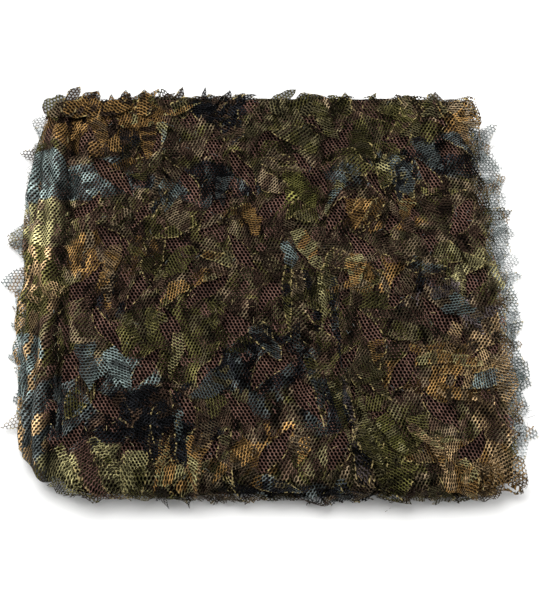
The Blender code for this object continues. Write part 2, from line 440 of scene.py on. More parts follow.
def knitted_mesh(name, sizes, palette, hole_share):
    """Fine knitted polyester mesh, printed on its face: matt yarn round six-sided holes that pass light.

    The cloth map is in metres along the cloth. hole_share is a hole's width as a share of the hole pitch. The
    colours come from the mesh's own print attributes, which carry painted light and shade, and rim is the
    distance from a cut edge. The yarns are drawn lighter on their crowns and proud lines, as painted light
    and shade.
    """
    material, tree, shader = new_material(name)
    add = functools.partial(add_node, tree)
    cloth = add("ShaderNodeUVMap", {}, uv_map="cloth")
    shares = ("sheer", "core", "plain", "rim")
    sheer, core, plain, rim = (add(ATTRIBUTE, {}, "Fac", attribute_name=share) for share in shares)
    prints = ("print_first", "print_second")
    first, second = (add(ATTRIBUTE, {}, "Color", attribute_name=colour) for colour in prints)

    # Knitted mesh gives with every pull, so its holes are stretched one way here and another way there.
    pull = add(NOISE, {"Vector": cloth, "Scale": 1 / 0.028, "Detail": 1.0}, "Color")
    pull = add(VECTOR_MATH, {0: pull, 1: (0.5, 0.5, 0.5)}, operation="SUBTRACT")
    pulled = add(VECTOR_MATH, {0: pull, 1: (0.002, 0.0035, 0.0), 2: cloth}, operation="MULTIPLY_ADD")

    # Two rectangular grids, one half a step off the other, make the offset rows of holes.
    row_step = math.sqrt(3)
    grid = (1 / sizes.hole_pitch, 1 / (sizes.hole_pitch * row_step), 0.0)
    steps = add(VECTOR_MATH, {0: pulled, 1: grid}, operation="MULTIPLY")
    distances = []
    for offset in (0.0, 0.5):
        place = add(VECTOR_MATH, {0: steps, 1: (offset, offset, 0.0)}, operation="ADD")
        place = add(VECTOR_MATH, {0: place}, operation="FRACTION")
        place = add(VECTOR_MATH, {0: place, 1: (0.5, 0.5, 0.0)}, operation="SUBTRACT")
        place = add(VECTOR_MATH, {0: place, 1: (1.0, row_step, 0.0)}, operation="MULTIPLY")
        distances.append(add(VECTOR_MATH, {0: place}, "Value", operation="LENGTH"))
    nearest = add(MATH, dict(enumerate(distances)), operation="MINIMUM")

    # Where the cloth is sheer its yarns are drawn thinner and its holes are wider.
    from_hole = add(MATH, {0: sheer, 1: -0.085, 2: nearest}, operation="MULTIPLY_ADD")
    edge = hole_share / 2
    yarn = add(MAP_RANGE, {"Value": from_hole, "From Min": edge - 0.03, "From Max": edge + 0.03})

    # The deepest layers can't be seen into, and have their holes closed.
    solid = add(MATH, {0: yarn, 1: core}, operation="MAXIMUM")

    # The print: ragged leaf shapes about 10 mm long, each of one of two colours and light or dark.
    fine = {"Detail": 2.0, "Roughness": 0.6}
    ragged = add(NOISE, {"Vector": cloth, "Scale": 1 / 0.005, **fine}, "Color")
    ragged = add(VECTOR_MATH, {0: ragged, 1: (0.007, 0.007, 0.0), 2: cloth}, operation="MULTIPLY_ADD")
    leaf_size = (1 / 0.0065, 1 / 0.013, 1.0)
    leaf_place = add(MAPPING, {"Vector": ragged, "Scale": leaf_size, "Rotation": (0.0, 0.0, 0.6)})
    shapes = add("ShaderNodeTexVoronoi", {"Vector": leaf_place, "Scale": 1.0}, "Color")
    draws = add("ShaderNodeSeparateColor", {"Color": shapes}).node.outputs
    choice = add(MAP_RANGE, {"Value": draws[1], "From Min": 0.60, "From Max": 0.66})
    printed = add(MIX, {"Factor": choice, 6: first, 7: second}, 2, data_type="RGBA")
    shape_light = add(MAP_RANGE, {"Value": draws[0], "To Min": 0.08, "To Max": 1.22})
    even = add(MIX, {"Factor": plain, 2: shape_light, 3: 0.8})
    streak_size = (1 / 0.003, 1 / 0.011, 1.0)
    streaks = add(MAPPING, {"Vector": cloth, "Scale": streak_size, "Rotation": (0.0, 0.0, 0.5)})
    streaks = add(NOISE, {"Vector": streaks, "Scale": 1.0, **fine}, "Fac")
    streak_range = {"From Min": 0.32, "From Max": 0.68, "To Min": 0.30, "To Max": 1.42}
    light = add(MAP_RANGE, {"Value": streaks, **streak_range})

    # Painted light and shade: each yarn is rounded, and is drawn light along its crown and dark where it
    # turns under.
    crown = add(MAP_RANGE, {"Value": from_hole, "From Min": edge, "From Max": 0.5})
    crown_light = add(MAP_RANGE, {"Value": crown, "To Min": 0.08, "To Max": 1.28})

    # Painted light and shade: the yarns that run one way stand proud of the others and are drawn lighter, the
    # others darker, which makes the fine slanting lines of the knit.
    slant = (math.tau, -math.tau, 0.0)
    line = add(VECTOR_MATH, {0: steps, 1: slant}, "Value", operation="DOT_PRODUCT")
    line = add(MATH, {0: line}, operation="COSINE")
    line_range = {"From Min": 1.0, "From Max": -1.0, "To Min": 0.35, "To Max": 1.85}
    line_light = add(MAP_RANGE, {"Value": line, **line_range})
    for factor in (crown_light, line_light, even):
        light = add(MATH, {0: light, 1: factor}, operation="MULTIPLY")
    toned = add(VECTOR_MATH, {0: printed, "Scale": light}, operation="SCALE")

    # Bare yarn shows in places along a cut edge, for less than a millimetre.
    rim_range = {"From Min": 0.0004, "From Max": 0.0013, "To Min": 0.75, "To Max": 0.0}
    rim_share = add(MAP_RANGE, {"Value": rim, **rim_range})
    worn = add(NOISE, {"Vector": cloth, "Scale": 1 / 0.0035, "Detail": 3.0}, "Fac")
    worn = add(MAP_RANGE, {"Value": worn, "From Min": 0.48, "From Max": 0.62})
    rim_seen = add(MATH, {0: rim_share, 1: worn}, operation="MULTIPLY")
    bare = (*palette["cut_edge"], 1.0)
    colour = add(MIX, {"Factor": rim_seen, 6: toned, 7: bare}, 2, data_type="RGBA")

    fuzz = add(NOISE, {"Vector": cloth, "Scale": 1 / 0.0008, "Detail": 2.0}, "Fac")
    relief = add(MATH, {0: crown, 1: fuzz}, operation="ADD")
    bump = add("ShaderNodeBump", {"Height": relief, "Strength": 0.6, "Distance": 0.0004})
    surface = {"Base Color": colour, "Alpha": solid, "Normal": bump}
    feed(tree, shader, {**surface, "Roughness": 0.75, "Specular IOR Level": 0.03})
    return material


def loose_yarn(name):
    """Bare polyester yarn, cut and frayed: a soft sheen and no print."""
    material, tree, shader = new_material(name)
    first = add_node(tree, ATTRIBUTE, {}, "Color", attribute_name="print_first")
    place = add_node(tree, "ShaderNodeTexCoord", {}, "Object")
    twist = add_node(tree, NOISE, {"Vector": place, "Scale": 1 / 0.0010, "Detail": 2.0}, "Fac")
    shade_range = {"From Min": 0.3, "From Max": 0.7, "To Min": 0.6, "To Max": 1.3}
    shade = add_node(tree, MAP_RANGE, {"Value": twist, **shade_range})
    toned = add_node(tree, VECTOR_MATH, {0: first, "Scale": shade}, operation="SCALE")
    feed(tree, shader, {"Base Color": toned, "Roughness": 0.6, "Sheen Weight": 0.15})
    return material


# Mesh building


class ClothMesh:
    """Grids of cloth collected into one mesh, with a cloth map and attributes.

    The attributes are the print's two colours with their painted light and shade, the distance from a cut
    edge (rim), and how closed (core), how open (sheer) and how evenly printed (plain) the mesh is.
    """

    def __init__(self):
        self.values = defaultdict(list)
        self.faces = []
        self.count = 0

    def add_grid(self, x, y, z, u, v, first, second, rim, core=0.0, sheer=0.0, plain=0.0, loop=False):
        """Add a grid of points. loop joins its last column to its first."""
        shape = np.shape(x)
        grids = {"place": np.stack([x, y, z], axis=-1), "cloth": np.stack([u, v], axis=-1)}
        for name, colour in (("print_first", first), ("print_second", second)):
            grids[name] = np.ones((*shape, 4))
            grids[name][..., :3] = colour
        for name, share in (("rim", rim), ("core", core), ("sheer", sheer), ("plain", plain)):
            grids[name] = np.broadcast_to(share, shape)[..., None]
        for name, grid in grids.items():
            self.values[name].append(grid.reshape(-1, grid.shape[-1]))
        numbers = np.arange(self.count, self.count + math.prod(shape)).reshape(shape)
        self.count += numbers.size
        if loop:
            numbers = np.concatenate([numbers, numbers[:, :1]], axis=1)
        quads = np.stack([numbers[:-1, :-1], numbers[:-1, 1:], numbers[1:, 1:], numbers[1:, :-1]], axis=-1)
        self.faces.append(quads.reshape(-1, 4))

    def make_object(self, name, material, keep_face=None):
        values = {kind: np.concatenate(grids) for kind, grids in self.values.items()}
        faces = np.concatenate(self.faces)
        if keep_face is not None:
            faces = faces[keep_face(values["place"][faces])]
        used, faces = np.unique(faces, return_inverse=True)
        faces = faces.reshape(-1, 4)
        mesh = bpy.data.meshes.new(name)
        mesh.from_pydata((values.pop("place")[used] + CENTRE_SHIFT).tolist(), [], faces.tolist())
        cloth_map = values.pop("cloth")[used][faces.reshape(-1)]
        mesh.uv_layers.new(name="cloth").data.foreach_set("uv", cloth_map.reshape(-1))
        for kind, column in values.items():
            form, field = ("FLOAT_COLOR", "color") if kind.startswith("print") else ("FLOAT", "value")
            attribute = mesh.attributes.new(kind, form, "POINT")
            attribute.data.foreach_set(field, column[used].reshape(-1))
        mesh.materials.append(material)
        mesh.validate()
        mesh.shade_smooth()
        piece = bpy.data.objects.new(name, mesh)
        bpy.context.scene.collection.objects.link(piece)
        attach(piece, "root")
        return piece


def start_piece(context, seed_step=0):
    """The sizes, the colours, an empty cloth and a seeded random source for one piece."""
    sizes = context.scene.net_sizes
    palette = net_palette(context.scene.net_colours)
    return sizes, palette, ClothMesh(), np.random.default_rng(sizes.leaf_seed + seed_step)


FLAT_COLUMNS = 84
ROLL_COLUMNS = 12
LAYER_ROWS = 56
LOOP_ROWS = 6
LOOP_SHARES = np.linspace(0.0, 1.0, LOOP_ROWS + 1)[1:-1, None]


def ground_layer(level):
    """The points of one layer of the ground mesh, a row for each step along the cloth."""
    share = np.linspace(0.0, 1.0, LAYER_ROWS + 1)[:, None]
    y = mix(FOLDS[level].y, FOLDS[level + 1].y, share)
    left = roll_line(y)
    flat_share = np.linspace(0.0, 1.0, FLAT_COLUMNS + 1)[None, :]
    flat_x = mix(right_edge(level, y), left, flat_share)
    flat_z = layer_height(level, flat_x, y)
    round_share = np.linspace(0.0, 1.0, ROLL_COLUMNS + 1)[None, 1:]
    radius = layer_height(level, left, y, (1.0 - round_share) ** 2)
    angle = np.radians(LAYERS[level].wrap) * round_share
    tail = FLAT_TAIL * round_share if level == 0 else 0.0
    x = np.concatenate([flat_x, left - tail - radius * np.sin(angle)], axis=1)
    z = np.concatenate([flat_z, radius * np.cos(angle)], axis=1)
    y = np.broadcast_to(y, x.shape)
    z = z + top_relief(x + level, y) * (level / TOP) ** 2
    start = edge_y(level, level, x, y)
    end = edge_y(level + 1, level, x, y)
    return x, mix(start, end, share), z


def fold_loop(level, lower, upper):
    """The rows of the loop that joins a layer to the one above it."""
    angle = math.pi * (LOOP_SHARES - 0.5)
    rise = (1.0 + np.sin(angle)) / 2
    outward = math.copysign(FOLDS[level + 1].bulge, FOLDS[level + 1].y) * np.cos(angle)
    x, y, z = (mix(low[-1][None, :], high[0][None, :], rise) for low, high in zip(lower, upper))
    return x, y + outward, z


def ground_print_and_shade(level, x, y, palette):
    """The ground mesh: maroon on top, and the print's colours where the folds and sides show. Its lower
    layers carry painted shade, and its sheer margin painted light.

    Gives its two colours, how closed it is (core) and how sheer it is.
    """
    inside = np.minimum(x - section_value(y, "left"), right_edge(max(level, 1), y) - x)
    inside = np.minimum(inside, np.minimum(y - FOLDS[0].y, BACK_LINE - y))
    depth = smooth_step((inside - 0.003) / 0.012)
    first, second = print_colours_and_shade(x + 0.031 * level, y - 0.023 * level, palette, shift=0.05 * level)
    sheer = np.zeros(x.shape)
    if level == TOP:
        blotch = smooth_step(ripple(x, y, 0.030, 21))[..., None]
        shade = np.clip(0.22 + 13.0 * first.mean(axis=-1), 0.32, 1.1)[..., None]
        maroon = palette["ground"] * (0.85 + 0.35 * blotch) * shade
        return mix(first, maroon, depth[..., None] * 0.95), maroon, 0.0 * depth, sheer
    if level == 0:
        # Painted light: the sheer margin of the bottom layer, past the layers above, takes pale colours, as
        # light shines through it.
        out = smooth_step((x - right_edge(1, y) + 0.002) / 0.004)
        pale_share = smooth_step(ripple(x, y, 0.02, 23) + 0.5)[..., None]
        pale = mix(palette["pale_slate"], palette["mist"], pale_share)
        first = mix(first, pale, out[..., None])
        second = mix(second, palette["pale_slate"], out[..., None])
        sheer = out
    # Painted shade: the lower layers are darkened to near black away from their edges, where the stack shades
    # them, and the sheer margin is painted lighter.
    painted_light_and_shade = (1.0 - 0.97 * depth)[..., None] * 0.7
    core = depth if level == 0 else 1.0 + 0.0 * depth
    painted_light_and_shade = painted_light_and_shade + 0.8 * sheer[..., None]
    return first * painted_light_and_shade, second * painted_light_and_shade, core, sheer * 0.9


def build_ground_mesh(context):
    """The folded ground mesh, one sheet from its front cut edge on the floor to the one on top."""
    sizes, palette, cloth, _ = start_piece(context)
    layers = [ground_layer(level) for level in range(len(LAYERS))]
    stacks = []
    prints = []
    sideways = []
    middle = slice(FLAT_COLUMNS // 2, FLAT_COLUMNS // 2 + 1)
    for level, layer in enumerate(layers):
        direction = 1.0 if level % 2 == 0 else -1.0
        stacks.append(layer)
        prints.append(ground_print_and_shade(level, layer[0], layer[1], palette))
        sideways.append(direction * (layer[1] - layer[1][:, middle]))
        if level < TOP:
            upper = layers[level + 1]
            loop = fold_loop(level, layer, upper)
            stacks.append(loop)
            first, second, core, sheer = ground_print_and_shade(level, loop[0], loop[1], palette)
            prints.append((first, second, core + 1.0, sheer))
            last = direction * (layer[1][-1] - layer[1][-1, middle])
            sideways.append(mix(last, -direction * (upper[1][0] - upper[1][0, middle]), LOOP_SHARES))
    x, y, z = (np.concatenate(part) for part in zip(*stacks))
    first, second, core, sheer = (np.concatenate(part) for part in zip(*prints))
    across = np.hypot(np.diff(x, axis=1), np.diff(z, axis=1))
    across = np.concatenate([np.zeros((len(x), 1)), np.cumsum(across, axis=1)], axis=1)
    flat_end = slice(FLAT_COLUMNS, FLAT_COLUMNS + 1)
    u = x[:, flat_end] + across[:, flat_end] - across
    centre = np.stack([x, y, z], axis=-1)[:, middle.start]
    along = np.concatenate([[0.0], np.cumsum(np.linalg.norm(np.diff(centre, axis=0), axis=1))])
    v = along[:, None] + np.concatenate(sideways)
    side = np.minimum(across, across[:, -1:] - across)
    cloth.add_grid(x, y, z, u, v, first, second, side, core, sheer, plain=0.85)
    piece = cloth.make_object("ground_mesh", knitted_mesh("ground_mesh", sizes, palette, hole_share=0.70))
    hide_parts(NODE)
    return piece


# The leaf-cut ply

RING_POINTS = 40
RING_SHARES = np.array((0.0, 0.05, 0.15, 0.30, 0.50, 0.75, 1.0))[:, None]
WINDOW_LEAN = math.radians(31)
CELL_PEAK = 0.0045
CELL_SHIFT = 0.008
CELL_REACH = 0.018
PLY_LEFT = -0.203
PLY_RIGHT = 0.175
PLY_FRONT = -0.178
PLY_BACK = 0.160
PLY_HOLE_SHARE = 0.58
SMALLEST_FACE = 0.0003

# Pleats that run from the back to the front: how far out along the cloth, their ends and how much they sway.
PLEATS = table("across y_back y_front height width sway", 6, (
    (-140, 155, -120, 3.5, 4.2, 2), (-162.5, 155, -150, 6, 3.6, 3), (-172, 125, -160, 5.6, 2.8, 3),
    (-180, 155, -150, 5.6, 3, 3), (-189, 110, -130, 4.8, 3, 3), (10, 50, -120, 2.6, 3.2, 3),
    (21, 10, -155, 3, 3.4, 3), (33, 30, -155, 2.8, 3, 3), (46, -20, -155, 2.6, 3.6, 3),
    (47, 125, 45, 4, 4, 2), (18, 110, 55, 3.4, 4, 2),
))
# A trough beside the side folds that is painted darker as shade, and its width.
SHADED_TROUGH = -0.152
SHADED_TROUGH_WIDTH = 0.0045
SIDE_FOLD_START = -0.146
SIDE_FOLD_REACH = 0.037
SIDE_FOLD_ENDS = (-0.1370, 0.1540)
SIDE_FOLD_ROWS = 190
SIDE_FOLD_COLUMNS = 64

# Where the ply is drawn together from both sides, beside the deepest troughs.
GATHERS = table("x y width length pull", 5, (
    (-150, 10, 20, 200, 10), (33, 90, 16, 50, 9), (45, -60, 24, 70, 10),
))


def warped(across, along):
    """The cloth's own unevenness: its rows of cuts wander, and are drawn together in the gathers."""
    moved_x = across + 0.0055 * ripple(across, along, 0.055, 31)
    moved_y = along + 0.0050 * ripple(across, along, 0.060, 32)
    for gather in GATHERS:
        away = (across - gather.x) / gather.width
        beside = np.exp(-(((along - gather.y) / gather.length) ** 2))
        moved_x = moved_x - gather.pull * away * np.exp(-(away**2)) * beside
    return moved_x, moved_y


def window_outline(length, width, lean, bow):
    """An opened cut, from its back tip down its right side and up its left side."""
    turn = np.linspace(0.0, math.tau, RING_POINTS, endpoint=False)
    run = np.cos(turn)
    half = width / 2 * np.sign(np.sin(turn)) * (1.0 - np.abs(run) ** 1.4)
    side = half + bow * np.sin(math.pi * run)
    reach = length / 2 * run
    return side * math.cos(lean) + reach * math.sin(lean), reach * math.cos(lean) - side * math.sin(lean)


def cell_outline(pitch_x, pitch_y, lean_sign):
    """The six-sided piece of cloth round one cut, in the same order as the cut's outline."""
    shift = lean_sign * CELL_SHIFT
    high = pitch_y / 2 - CELL_PEAK
    half = ((shift, pitch_y / 2 + CELL_PEAK), (pitch_x / 2 + shift, high), (pitch_x / 2 - shift, -high))
    points = np.array([*half, *((-x, -y) for x, y in half)])
    place = np.arange(RING_POINTS) * len(points) / RING_POINTS
    before = place.astype(int)
    share = place - before
    outline = mix(points[before], points[(before + 1) % len(points)], share[:, None])
    return outline[:, 0], outline[:, 1]


def panel_edge(along):
    """Where the upper layers end at the right, in a nearly straight edge."""
    return section_value(along, "right") + 0.0022 + 0.0008 * ripple(along, 0.0 * along, 0.010, 37)


def pleat_height(across, along):
    """The lengthwise pleats of the ply."""
    total = 0.0
    for number, pleat in enumerate(PLEATS):
        middle = pleat.across + pleat.sway * ripple(along, 0.0 * along + number, 0.045, 61 + number)
        fade = smooth_step((pleat.y_back - along) / 0.03) * smooth_step((along - pleat.y_front) / 0.03)
        uneven = 0.75 + 0.35 * ripple(along, 0.0 * along + number, 0.025, 71 + number)
        total = total + pleat.height * fade * uneven * np.exp(-(((across - middle) / pleat.width) ** 2))
    return total


def ply_relief(across, along):
    """Uneven puckers of the ply between its cuts, and its share of the pleats."""
    puckers = 0.0016 * ripple(across, along, 0.011, 35) + 0.0010 * ripple(across, along, 0.006, 36)
    return puckers + pleat_height(across, along)


def painted_relief_shade(height):
    """Painted shade and light: the ply's colour is drawn darker in its troughs and lighter on its ridges."""
    return (0.16 + 1.62 * smooth_step((height + 0.0022) / 0.0050))[..., None]


def window_places(sizes):
    """The middle and the lean of every cut, row by row."""
    rows = range(math.ceil(PLY_FRONT / sizes.window_pitch_y), math.floor(PLY_BACK / sizes.window_pitch_y) + 1)
    for row in rows:
        lean_sign = 1 if row % 2 == 0 else -1
        offset = 0.0 if row % 2 == 0 else sizes.window_pitch_x / 2
        first = math.ceil((PLY_LEFT - offset) / sizes.window_pitch_x)
        last = math.floor((PLY_RIGHT - offset) / sizes.window_pitch_x)
        for number in range(first, last + 1):
            yield number * sizes.window_pitch_x + offset, row * sizes.window_pitch_y, lean_sign


def clear_of_floor(corners):
    """The cloth that hangs at the packet's sides ends just above the floor."""
    return corners[:, :, 2].min(axis=1) > LOWEST + 0.0012


def ply_face_kept(corners):
    """The ply keeps the faces clear of the floor that lie right of the side folds and aren't slivers."""
    wide = (np.ptp(corners[:, :, :2], axis=1) > SMALLEST_FACE).all(axis=1)
    return (corners[:, :, 0].mean(axis=1) > SIDE_FOLD_START - 0.006) & wide & clear_of_floor(corners)


def build_leaf_ply(context):
    """The printed ply on the packet's top, with its rows of opened cuts and their raised rims."""
    sizes, palette, cloth, rng = start_piece(context)
    for middle_x, middle_y, lean_sign in window_places(sizes):
        length = sizes.window_length * rng.uniform(0.85, 1.15)
        opened = 0.25 if middle_y < FRONT_LINE else 1.0
        width = sizes.window_width * rng.uniform(0.75, 1.25) * opened
        lean = lean_sign * (WINDOW_LEAN + rng.uniform(-0.12, 0.12))
        inner_x, inner_y = window_outline(length, width, lean, rng.uniform(-0.0015, 0.0030) * lean_sign)
        outer_x, outer_y = cell_outline(sizes.window_pitch_x, sizes.window_pitch_y, lean_sign)
        curl = rng.uniform(0.0008, 0.0040) * (1.0 + np.sign(inner_x) * rng.choice((-0.8, 0.8)))
        curl = curl * np.clip(np.abs(inner_x) / (width / 2), 0.0, 1.0)
        fade = (1.0 - RING_SHARES) ** 3
        out = np.sign(inner_x) * curl * 0.7
        across = middle_x + (mix(inner_x, outer_x, RING_SHARES) + out * fade)
        along = middle_y + mix(inner_y, outer_y, RING_SHARES)
        laid_across, laid_along = warped(across, along)
        laid_across = np.minimum(laid_across, panel_edge(laid_along))
        laid_along = np.minimum(laid_along, BACK_LINE + 0.0012)
        relief = ply_relief(laid_across, laid_along)
        lift = np.maximum(sizes.ply_lift + curl * fade + relief, 0.0005)
        x, y, z = lay_on_top(laid_across, laid_along, lift)
        first, second = print_colours_and_shade(laid_across, laid_along, palette)
        # The colour takes a random tone and the painted shade of the relief.
        tone = rng.uniform(0.8, 1.2) * painted_relief_shade(relief)
        rim = np.broadcast_to(CELL_REACH * RING_SHARES, across.shape) + rng.choice((0.0, 0.002), p=(0.6, 0.4))
        u = across * 1.15
        v = along * 1.1
        cloth.add_grid(x, y, z, u, v, first * tone, second * tone, rim, sheer=0.25, loop=True)
    material = knitted_mesh("printed_mesh", sizes, palette, PLY_HOLE_SHARE)
    return cloth.make_object("leaf_ply", material, ply_face_kept)


def build_side_folds(context):
    """The printed ply's left margin, drawn into long pleats down the rolled side."""
    sizes, palette, cloth, _ = start_piece(context)
    along = np.linspace(*SIDE_FOLD_ENDS, SIDE_FOLD_ROWS)[:, None]
    reach = SIDE_FOLD_REACH * (1.0 - 0.45 * smooth_step((-0.100 - along) / 0.037))
    end = roll_line(along) - reach + 0.003 * ripple(along, 0.0 * along, 0.012, 81)
    across = mix(SIDE_FOLD_START, end, np.linspace(0.0, 1.0, SIDE_FOLD_COLUMNS)[None, :])
    along = along + 0.0 * across
    height = pleat_height(across, along)
    lift = 0.0010 + height + 0.0008 * ripple(across, along * 0.5, 0.006, 83)
    x, y, z = lay_on_top(across, along, np.maximum(lift, 0.0004))
    first, second = print_colours_and_shade(x, y, palette)
    # Painted shade: the colour is drawn darker between the pleats and along the trough, and lighter on the
    # pleats' crests.
    trough_shade = np.exp(-(((across - SHADED_TROUGH) / SHADED_TROUGH_WIDTH) ** 2))
    tone = ((0.40 + 1.50 * smooth_step(height / 0.0055)) * (1.0 - 0.9 * trough_shade))[..., None]
    rim = across - end
    core = 0.85 * smooth_step((-0.080 - along) / 0.025)
    u = across * 1.35
    cloth.add_grid(x, y, z, u, along * 1.2, first * tone, second * tone, rim, core, plain=0.5)
    return cloth.make_object("side_folds", knitted_mesh("pleated_mesh", sizes, palette, PLY_HOLE_SHARE))


# Leaves

LEAF_ROWS = 11
LEAF_COLUMNS = np.array((-1.0, -0.93, -0.55, -0.18, 0.18, 0.55, 0.93, 1.0))
Leaf = namedtuple("Leaf", "across along heading length width bend lift rise cup twist")


def leaf_outline(share, width, point):
    """Half the width of a leaf along its length, from its stalk to its tip. point is how sharp the tip is."""
    body = 1.25 * (1.0 - share) ** point * (0.5 + 0.9 * share**0.6)
    return width / 2 * np.clip(body, 0.02, 1.2)


def leaf_grid(length, width, bend, point, rng):
    """A flat leaf: its points along and across, and the distance of each from the cut edge."""
    share = np.linspace(0.0, 1.0, LEAF_ROWS)[:, None]
    column = LEAF_COLUMNS[None, :]
    ragged = ripple(share, 3.0 * np.sign(column), 0.22, rng.integers(10000))
    half = leaf_outline(share, width, point) * (1.0 + 0.30 * ragged)
    reach = length * share + 0.0 * column
    side = half * column + bend * np.sin(math.pi * share * 0.9)
    rim = np.minimum(half * (1.0 - np.abs(column)), length * (1.0 - share) * 0.5 + 0.0 * column)
    return share + 0.0 * column, reach, side, rim


def turned(reach, side, angle):
    """A point that lies reach ahead and side to the left, seen from a heading."""
    ahead = reach * math.cos(angle) - side * math.sin(angle)
    return ahead, reach * math.sin(angle) + side * math.cos(angle)


def add_leaf(cloth, leaf, palette, rng, colours=None):
    """Lay one loose leaf on the packet: its stalk on the ply, its tip lifted and its sides cupped.

    colours are its two colours, or are taken from the print where it lies.
    """
    bend = leaf.bend * leaf.length
    share, reach, side, rim = leaf_grid(leaf.length, leaf.width, bend, rng.uniform(0.6, 1.0), rng)
    pleat = 0.06 * leaf.width * np.sin(side / leaf.width * rng.uniform(5, 11) + rng.uniform(0, 6))
    lift = leaf.lift + leaf.rise * share**1.5 + leaf.cup * (2 * side / leaf.width) ** 2 * (0.3 + share)
    lift = np.maximum(lift + leaf.twist * side * share + pleat * share, 0.0006)
    ahead, aside = turned(reach, side, leaf.heading)
    along = leaf.along + aside
    across = np.minimum(leaf.across + ahead, panel_edge(along) + 0.0005)
    lift = lift + np.maximum(ply_relief(across, along), 0.0) * 0.8
    x, y, z = lay_on_top(across, along, lift)
    if colours:
        # The listed leaves take the painted light and shade of the zones too.
        light = painted_zone_light(leaf.across, leaf.along)
        first, second = (palette[name] * light for name in colours)
        tone = rng.uniform(0.6, 1.1)
    else:
        seen_x = leaf.across + rng.uniform(-0.008, 0.008)
        seen_y = leaf.along + rng.uniform(-0.012, 0.004)
        first, second = print_colours_and_shade(seen_x, seen_y, palette, shift=rng.uniform(-0.05, 0.05))
        tone = rng.choice((0.4, 0.7, 1.0, 1.45)) * rng.uniform(0.8, 1.2)
    spin = rng.uniform(-0.5, 0.5)
    squash = rng.uniform(1.0, 1.5)
    ahead, aside = turned(reach, side, spin)
    u = ahead * squash + rng.uniform(0.0, 1.0)
    v = aside * 1.1 + rng.uniform(0.0, 1.0)
    rim = rim + rng.choice((0.0, 0.003), p=(0.3, 0.7))
    sheer = rng.uniform(0.0, 1.0)
    plain = rng.uniform(0.0, 0.8)
    cloth.add_grid(x, y, z, u, v, first * tone, second * tone, rim, sheer=sheer, plain=plain)


# The leaves that stand out from the rest: where each starts, its size, the way it points and two colours.
FEATURES = table("x y length width rise turn first second", 5, (
    (-117, 138, 28, 14, 3, -10, "ochre", "straw"), (-96, 136, 36, 14, 3, -88, "ochre", "bark"),
    (-98, 104, 26, 10, 4, 200, "ochre", "ochre"), (-137, 142, 36, 14, 2, -75, "ochre", "tan"),
    (-109, 128, 26, 17, 1, -95, "night", "bark"), (-84, 139, 30, 6, 4, 18, "ochre", "straw"),
    (-85, 134, 21, 8, 3, -85, "straw", "pale_slate"), (-21, 60, 24, 14, 4, -70, "ochre", "ochre"),
    (-52, 26, 25, 9, 3, -30, "ochre", "straw"), (-113, 33, 28, 13, 2, -100, "tan", "ochre"),
    (-76, 88, 30, 18, 2, -98, "pale_slate", "slate"), (10, 86, 31, 22, 4, -55, "lime", "moss"),
    (54, 69, 24, 16, 4, -80, "ochre", "ochre"), (52, 87, 36, 9, 5, -115, "pale_slate", "straw"),
    (98, 70, 22, 12, 3, -108, "ochre", "straw"), (84, 116, 40, 20, 3, -100, "moss", "straw"),
    (140, 146, 36, 13, 2, -80, "ochre", "tan"), (14, 45, 36, 14, 5, -68, "straw", "ochre"),
    (58, 26, 27, 14, 3, -98, "ochre", "straw"), (94, 18, 30, 14, 3, -8, "night", "slate"),
    (114, 31, 44, 18, 3, -18, "straw", "moss"), (8, 36, 25, 12, 3, -82, "pale_slate", "slate"),
    (-115, -46, 36, 14, 3, -62, "pale_slate", "slate"), (-133, -42, 36, 17, 3, -80, "slate", "pale_slate"),
    (-67, -34, 35, 10, 4, -100, "straw", "moss"), (-75, -108, 34, 9, 5, -100, "ochre", "straw"),
    (-57, -108, 34, 8, 5, -82, "ochre", "straw"), (-79, -136, 23, 10, 5, 8, "straw", "ochre"),
    (-66, -110, 28, 18, 1, -90, "night", "night"), (-101, -76, 36, 20, 1, -82, "night", "night"),
    (-85, -74, 38, 22, 1, -96, "night", "bark"), (-93, -96, 32, 20, 2, -66, "night", "night"),
    (-74, -86, 32, 16, 1, -98, "night", "night"), (-60, -98, 32, 16, 1, -94, "night", "night"),
    (-146, -114, 50, 9, 4, -52, "straw", "moss"), (-133, -112, 52, 14, 2, -55, "ground", "ground"),
    (-123, -110, 48, 10, 5, -57, "straw", "lime"), (-93, -118, 32, 19, 4, -95, "straw", "moss"),
    (-47, -106, 40, 12, 3, -98, "ochre", "tan"), (-67, -86, 27, 10, 2, -85, "slate", "pale_slate"),
    (92, -46, 48, 9, 3, 8, "ochre", "tan"), (96, -55, 50, 9, 4, -6, "ochre", "straw"),
    (112, -62, 38, 9, 3, 4, "ochre", "tan"), (110, -74, 36, 12, 3, -20, "ochre", "tan"),
    (71, -40, 23, 14, 4, -90, "ochre", "bark"), (155, -62, 28, 17, 2, -150, "slate", "pale_slate"),
    (89, -110, 45, 26, 2, -98, "moss", "lime"), (71, -94, 34, 12, 4, -60, "straw", "lime"),
    (90, -100, 31, 8, 5, -38, "straw", "tan"), (96, -106, 22, 3, 6, -22, "straw", "tan"),
    (110, -111, 15, 3, 6, -6, "straw", "straw"), (123, -124, 32, 14, 3, -70, "ochre", "straw"),
    (146, -118, 40, 22, 2, -45, "tan", "ochre"), (54, -112, 30, 16, 2, -85, "night", "heather"),
    (113, -4, 46, 20, 2, -30, "taupe", "pale_slate"), (10, 20, 60, 8, 3, -88, "moss", "night"),
    (21, 12, 66, 7, 4, -84, "night", "moss"), (31, 24, 60, 8, 3, -90, "straw", "moss"),
    (41, 8, 70, 8, 3, -86, "night", "slate"), (22, -50, 62, 8, 3, -80, "slate", "moss"),
    (34, -58, 64, 8, 4, -76, "moss", "straw"), (46, -66, 58, 7, 3, -78, "night", "heather"),
    (56, -72, 60, 7, 4, -74, "straw", "moss"), (60, -104, 44, 8, 4, -70, "moss", "olive"),
))


